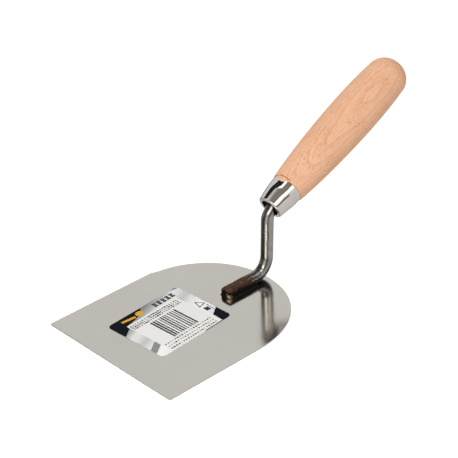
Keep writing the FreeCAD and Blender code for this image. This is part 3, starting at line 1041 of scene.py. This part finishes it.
# %% The row tree
def row_tree():
    tree = bpy.data.node_groups.new("print_row", "GeometryNodeTree")
    kinds = (("Count", "NodeSocketInt"), ("Pitch", "NodeSocketFloat"),
             ("Depth", "NodeSocketFloat"), ("Least", "NodeSocketFloat"),
             ("Most", "NodeSocketFloat"), ("Seed", "NodeSocketInt"),
             ("Finish", "NodeSocketMaterial"))
    tree.interface.new_socket("Geometry", in_out="INPUT", socket_type="NodeSocketGeometry")
    names = {name: tree.interface.new_socket(name, in_out="INPUT", socket_type=kind).identifier
             for name, kind in kinds}
    tree.interface.new_socket("Geometry", in_out="OUTPUT", socket_type="NodeSocketGeometry")
    into = tree.nodes.new("NodeGroupInput")
    out = tree.nodes.new("NodeGroupOutput")
    step = add(tree, "ShaderNodeCombineXYZ", [("X", into.outputs["Pitch"])])
    line = add(tree, "GeometryNodeMeshLine", [("Count", into.outputs["Count"]),
                                              ("Offset", step.outputs[0])])
    box = add(tree, "GeometryNodeMeshCube", [("Size", (1.0, 1.0, INK * MM * 0.9))])
    width = add(tree, "FunctionNodeRandomValue", data_type="FLOAT")
    for socket, source in (("Min", "Least"), ("Max", "Most")):
        tree.links.new(into.outputs[source],
                       next(s for s in width.inputs if s.name == socket and s.type == "VALUE"))
    tree.links.new(into.outputs["Seed"], width.inputs["Seed"])
    value = next(s for s in width.outputs if s.type == "VALUE")
    size = add(tree, "ShaderNodeCombineXYZ", [("X", value), ("Y", into.outputs["Depth"]),
                                              ("Z", 1.0)])
    placed = add(tree, "GeometryNodeInstanceOnPoints", [("Points", line.outputs[0]),
                                                        ("Instance", box.outputs[0]),
                                                        ("Scale", size.outputs[0])])
    solid = add(tree, "GeometryNodeRealizeInstances", [("Geometry", placed.outputs[0])])
    painted = add(tree, "GeometryNodeSetMaterial", [("Geometry", solid.outputs[0]),
                                                    ("Material", into.outputs["Finish"])])
    tree.links.new(painted.outputs[0], out.inputs[0])
    return tree, names


row, row_inputs = row_tree()


def print_row(name, start, count, pitch, depth, least, most, seed, layer=2):
    """A row of black blocks from a (u, v) start, along +v, sizes in millimetres."""
    piece = bpy.data.objects.new(name, bpy.data.meshes.new(name))
    bpy.context.scene.collection.objects.link(piece)
    bake(piece, row, {row_inputs["Count"]: count, row_inputs["Pitch"]: pitch * MM,
                      row_inputs["Depth"]: depth * MM, row_inputs["Least"]: least * MM,
                      row_inputs["Most"]: most * MM, row_inputs["Seed"]: seed,
                      row_inputs["Finish"]: black})
    turn = LABEL_TURN + math.pi / 2
    lift = Matrix.Translation(on_label(*start, (layer + 0.5) * INK + INK_CLEARANCE))
    piece.data.transform(lift @ Matrix.Rotation(turn, 4, "Z"))
    return piece


def join(name, parts):
    """Join several printed rows into one piece."""
    mesh = bmesh.new()
    for part in parts:
        mesh.from_mesh(part.data)
    for part in parts:
        bpy.data.objects.remove(part)
    print_on_label(name, mesh, black)


# %% Printed rows
bars = []
BAR_GROUPS = ((-9.2, 3), (-3.3, 4), (4.6, 4))
for group, (start, count) in enumerate(BAR_GROUPS):
    bars.append(print_row("bars", (3.3, start), count, 1.85, 20.6, 0.6, 1.35, 14 + group))
join("label_bars", bars)
text = []
for line, u in enumerate((-12.9, -11.1, -9.3)):
    text.append(print_row("text", (u, -19.8), 21, 1.9, 1.1, 0.5, 1.75, 31 + line))
for line, u in enumerate((15.6, 18.2, 20.9)):
    text.append(print_row("text", (u, -19.0), 20, 1.95, 0.95, 0.3, 1.5, 51 + line))
join("label_text_rows", text)
marks = [print_row("marks", (u, 6.3), 5, 3.6, 1.25, width, width + 0.1, 71 + line, layer=0)
         for line, (u, width) in enumerate(((-20.2, 2.7), (-18.8, 2.0), (-17.4, 2.7)))]
join("label_plain_marks", marks)


# %% Plain marks made of strokes
wedge = [(-2.5, 24.3), (2.1, 27.9), (3.1, 22.5)]


def stroke_between(start, end, width):
    """A straight stroke as an outline of four points."""
    along = Vector((end[0] - start[0], end[1] - start[1])).normalized() * width / 2
    return [(start[0] - along.x - along.y, start[1] - along.y + along.x),
            (start[0] - along.x + along.y, start[1] - along.y - along.x),
            (end[0] + along.x + along.y, end[1] + along.y - along.x),
            (end[0] + along.x - along.y, end[1] + along.y + along.x)]


for index in range(3):
    ink_plate([stroke_between(wedge[index], wedge[(index + 1) % 3], 0.55)], index,
              "label_wedge_%d" % index, black)
ink_plate([[(5.4, 23.0), (6.2, 26.4), (9.6, 26.0), (9.2, 22.8)]], 0, "label_square_mark", black)
ink_plate([stroke_between((4.2, 27.6), (10.4, 27.0), 0.5)], 0, "label_square_bar", black)
lozenge = [(-19.4 + 2.3 * math.cos(a * math.pi / 12), -6.4 + 2.9 * math.sin(a * math.pi / 12))
           for a in range(24)]
stroke = [(-20.9, -20.4), (-18.9, -20.7), (-17.4, -10.8), (-19.4, -10.5)]
ink_plate([lozenge, stroke], 1, "label_amber_mark", amber)

# %% [markdown]
# The studio has two jobs, so it has two sets of things. Wood and paper need soft light from the
# front and both sides, which three softboxes give. Steel and chrome need a room to mirror, because
# polished metal is only as good as what it shows. So reflections don't see the softboxes, but
# cards that stand in for them: glowing ones make highlights and black ones make dark edges. The
# floor is washed out to white where the camera looks at it, and plain board in reflections.

# %% Floor
FLOOR_DROP = 0.4 * MM
AIM = (0, 0.06, 0.05)


def studio_floor():
    """A pale board, darker on its left half, just below the blade."""
    mesh = bmesh.new()
    bmesh.ops.create_grid(mesh, x_segments=2, y_segments=2, size=3.0)
    for vertex in mesh.verts:
        vertex.co.z = -FLOOR_DROP
    material, tree, shader = new_material("pale_floor")
    apart = add(tree, "ShaderNodeSeparateXYZ", [("Vector", place(tree))])
    shade = remap(tree, apart.outputs["X"], -0.12, 0.07)
    looked_at = add(tree, "ShaderNodeLightPath").outputs["Is Camera Ray"]
    board = blend_colours(tree, shade, (0.42, 0.42, 0.41, 1), (0.80, 0.79, 0.775, 1))
    set_inputs(shader, Base_Color=board, Roughness=0.9, Emission_Color=(1, 1, 1, 1),
               Emission_Strength=maths(tree, "MULTIPLY", looked_at, 0.75))
    make_object("studio_floor", mesh, material, smooth=False)


studio_floor()


# %% Softboxes
def softbox(name, location, size, power, colour=(1, 1, 1)):
    """A soft light for the diffuse surfaces. Cards stand in for it in reflections."""
    data = bpy.data.lights.new(name, "AREA")
    data.shape = "RECTANGLE"
    data.size, data.size_y = size
    data.energy = power
    data.color = colour
    lamp = bpy.data.objects.new(name, data)
    lamp.location = location
    lamp.rotation_euler = (Vector(AIM) - Vector(location)).to_track_quat("-Z", "Y").to_euler()
    lamp.visible_glossy = False
    bpy.context.scene.collection.objects.link(lamp)


softbox("right_softbox", (0.98, -0.20, 0.46), (0.80, 0.40), 2.6, (1.0, 0.985, 0.96))
softbox("front_softbox", (0.30, -0.76, 1.12), (0.5, 0.5), 10.2)
softbox("left_softbox", (-1.35, 0.25, 0.95), (0.7, 0.9), 5.0)
print("softboxes:", len(bpy.data.lights))


# %% Cards
def only_in_reflections(piece):
    piece.visible_camera = piece.visible_diffuse = piece.visible_shadow = False


def card(name, location, size, glow=(0, 0, 0)):
    """A flat card, black or glowing, that only reflections see."""
    mesh = bmesh.new()
    bmesh.ops.create_grid(mesh, x_segments=1, y_segments=1, size=0.5)
    turn = (Vector(AIM) - Vector(location)).to_track_quat("-Z", "Y").to_matrix().to_4x4()
    mesh.transform(Matrix.Translation(location) @ turn @ Matrix.Diagonal((size[0], size[1], 1, 1)))
    material, _, shader = new_material(name + "_face")
    set_inputs(shader, Base_Color=(0.012, 0.012, 0.012, 1), Roughness=0.9,
               Emission_Color=(*glow, 1), Emission_Strength=1.0)
    only_in_reflections(make_object(name, mesh, material, smooth=False))


card("right_edge", (1.05, -0.20, 0.245), (0.9, 0.14))
card("far_right_board", (0.62, 0.95, 0.62), (0.80, 0.60), (0.30, 0.30, 0.31))
card("far_left_board", (-1.05, -0.42, 0.60), (0.80, 0.60), (0.20, 0.20, 0.21))
card("top_glow", (0.03, -0.20, 1.33), (0.50, 0.26), (1.6, 1.6, 1.55))
card("left_card", (-0.53, -0.10, 0.80), (0.36, 1.1))

# %% [markdown]
# The blade mirrors the rod, and that mirror image carries a warm highlight. It comes from a light
# round the tool's front and right: a curved strip at one height, whose glow is given at a few
# angles, in degrees round from the tool's right, and is brightest at two of them.

# %% The strip light
STRIP = ((-118, 0.30), (-96, 0.70), (-76, 2.40), (-60, 3.80), (-46, 2.40), (-30, 1.40),
         (-10, 2.80), (6, 1.80), (20, 0.50))
STRIP_RADIUS = 1.1
STRIP_HEIGHTS = (22, 28, 34, 40)
STRIP_STEP = 2
STRIP_WARMTH = (1.0, 0.94, 0.82)


def strip_mesh():
    mesh = bmesh.new()
    rows = []
    for angle in range(STRIP[0][0], STRIP[-1][0] + 1, STRIP_STEP):
        around = math.radians(angle)
        foot = Vector(AIM) + Vector((math.cos(around), math.sin(around), 0)) * STRIP_RADIUS
        rows.append([mesh.verts.new(foot + Vector((0, 0, STRIP_RADIUS
                                                   * math.tan(math.radians(height)))))
                     for height in STRIP_HEIGHTS])
    for near, far in zip(rows, rows[1:]):
        for i in range(len(near) - 1):
            mesh.faces.new((near[i], near[i + 1], far[i + 1], far[i]))
    return mesh


def strip_face():
    material, tree, shader = new_material("strip_light_face")
    apart = add(tree, "ShaderNodeSeparateXYZ", [("Vector", place(tree, AIM))])
    angle = maths(tree, "ARCTAN2", apart.outputs["Y"], apart.outputs["X"])
    first, last = STRIP[0][0], STRIP[-1][0]
    ramp = add(tree, "ShaderNodeValToRGB",
               [("Fac", remap(tree, angle, math.radians(first), math.radians(last)))])
    peak = max(glow for _, glow in STRIP)
    set_stops(ramp, [((at - first) / (last - first), [glow / peak * part for part in STRIP_WARMTH])
                     for at, glow in STRIP])
    set_inputs(shader, Base_Color=(0.0, 0.0, 0.0, 1), Roughness=1.0, Emission_Strength=peak,
               Emission_Color=ramp.outputs[0])
    return material


only_in_reflections(make_object("glowing_strip", strip_mesh(), strip_face(), smooth=False))


# %% [markdown]
# Past the cards is the room itself, which is only a colour for each direction. It is pale, which
# makes the blade pale, but dim and warm high up in front, which gives the chrome a dark middle.
# The wood and the paper get about half of it, so that the softboxes can shape them.

# %% Room
DIM_TOWARD = Vector((0.50, -0.42, 0.76)).normalized()
DIFFUSE_SHARE = 0.55


def studio_room():
    world = bpy.data.worlds.new("studio_room")
    bpy.context.scene.world = world
    world.use_nodes = True
    tree = world.node_tree
    background = tree.nodes["Background"]
    direction = add(tree, "ShaderNodeTexCoord")
    dot = add(tree, "ShaderNodeVectorMath", [(0, direction.outputs["Generated"]), (1, DIM_TOWARD)],
              operation="DOT_PRODUCT")
    dim = remap(tree, dot.outputs["Value"], 0.62, 0.90)
    colour = blend_colours(tree, dim, (0.78, 0.77, 0.75, 1), (0.26, 0.235, 0.205, 1))
    diffuse = add(tree, "ShaderNodeLightPath").outputs["Is Diffuse Ray"]
    tree.links.new(colour, background.inputs["Color"])
    tree.links.new(remap(tree, diffuse, 0, 1, 1.0, DIFFUSE_SHARE), background.inputs["Strength"])


studio_room()
print("studio ready")

# %% [markdown]
# The camera stands well back with a long lens, a little over half a right angle round from the
# front and about thirty degrees up, so the blade's sides hardly converge.

# %% Camera
CAMERA_AT = Vector((0.63099, -0.55648, 0.56372))
CAMERA_AZIMUTH = math.radians(46.921)
CAMERA_ELEVATION = math.radians(30.855)
CAMERA_ROLL = math.radians(-1.134)
CAMERA_LENS = 132.65


def aim_camera():
    data = bpy.data.cameras.new("studio_camera")
    data.lens = CAMERA_LENS
    data.sensor_width = 36.0
    data.clip_start, data.clip_end = 0.01, 20.0
    camera = bpy.data.objects.new("studio_camera", data)
    a, e, r = CAMERA_AZIMUTH, CAMERA_ELEVATION, CAMERA_ROLL
    right = Vector((math.cos(a), math.sin(a), 0))
    back = Vector((math.sin(a) * math.cos(e), -math.cos(a) * math.cos(e), math.sin(e)))
    up = back.cross(right)
    turned_right = right * math.cos(r) + up * math.sin(r)
    turned_up = up * math.cos(r) - right * math.sin(r)
    camera.matrix_world = (Matrix.Translation(CAMERA_AT)
                           @ Matrix((turned_right, turned_up, back)).transposed().to_4x4())
    bpy.context.scene.collection.objects.link(camera)
    bpy.context.scene.camera = camera


aim_camera()
bpy.context.scene.view_settings.view_transform = "Standard"
